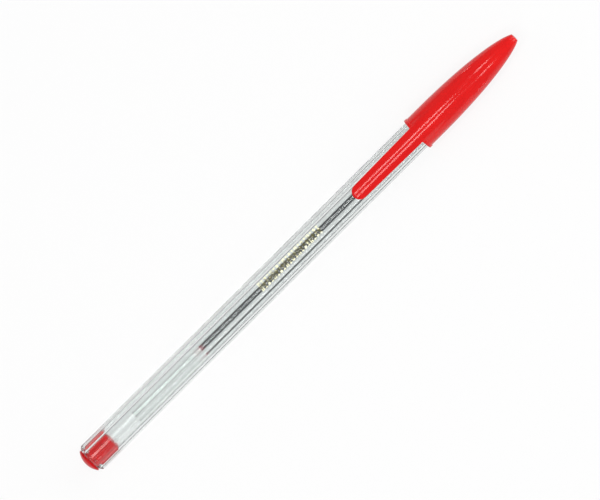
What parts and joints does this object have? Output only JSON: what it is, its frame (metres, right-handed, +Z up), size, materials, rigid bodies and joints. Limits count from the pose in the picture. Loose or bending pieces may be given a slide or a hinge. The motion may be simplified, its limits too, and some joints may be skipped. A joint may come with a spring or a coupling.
{
  "type": "ballpoint pen",
  "caption": "Capped stick ballpoint pen: clear hexagonal barrel with an ink tube inside, fluted end plug, and a pull-off cap with a pocket clip.",
  "frame": {"origin": "on the surface that the cap's lip touches, below the middle of the pen's length", "axes": "+X along the pen, from the end plug to the end of the cap; +Z up, square to the barrel's flat; the pocket clip is on top and leans to -Y"},
  "size_m": [0.15, 0.0094, 0.0096],
  "materials": {
    "clear_barrel": "clear moulded polystyrene, glossy",
    "red_plug": "red moulded polypropylene, satin gloss",
    "clear_tube": "clear extruded polypropylene",
    "ink": "thick dark ink paste",
    "holder_plastic": "natural moulded plastic, satin",
    "point_metal": "turned, bright",
    "ball_metal": "ground carbide, polished",
    "red_cap": "red moulded polypropylene, high gloss"
  },
  "bodies": {
    "pen_body": {"barrel": "clear_barrel", "end_plug": "red_plug", "ink_tube": "clear_tube", "ink_column": "ink", "tip_holder": "holder_plastic", "writing_point": "point_metal"},
    "ball": {"ball": "ball_metal"},
    "cap": {"cap": "red_cap"}
  },
  "joints": [
    {"name": "cap_slide", "type": "slide", "parent": "pen_body", "child": "cap", "axis": [1, 0, 0], "range_m": [0, 0.06]},
    {"name": "ball_roll", "type": "hinge", "parent": "pen_body", "child": "ball", "pos_m": [0.0691, 0, 0.00467], "axis": [0, 1, 0], "continuous": true}
  ]
}
